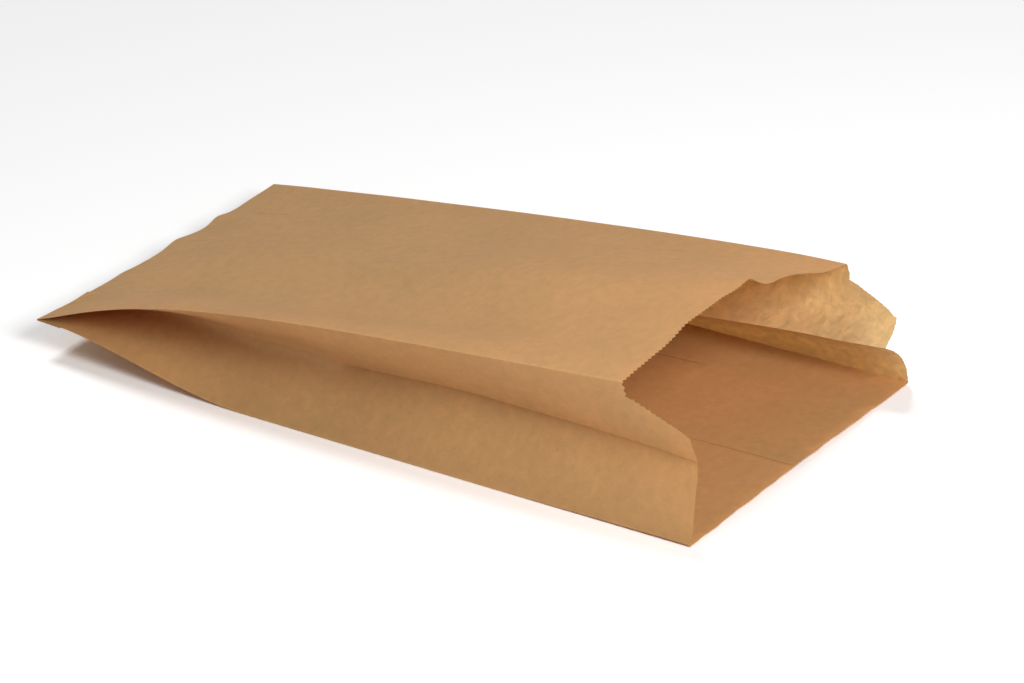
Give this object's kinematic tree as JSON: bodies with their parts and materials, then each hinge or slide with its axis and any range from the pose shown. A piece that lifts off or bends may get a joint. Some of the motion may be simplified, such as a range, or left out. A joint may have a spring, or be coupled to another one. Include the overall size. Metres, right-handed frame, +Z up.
{
  "type": "gusseted paper bag",
  "caption": "Brown kraft paper bag with tucked side gussets and a pinched, folded-under end, lying on its back panel with its stepped mouth standing open.",
  "frame": {"origin": "on the table, under the middle of the bag's outline", "axes": "+X along the bag from its closed end to its mouth, +Y across the bag, +Z up from the table"},
  "size_m": [0.3362, 0.1828, 0.0776],
  "materials": {
    "kraft_paper": "matt brown kraft"
  },
  "bodies": {
    "root": {"paper_bag": "kraft_paper"}
  },
  "joints": []
}
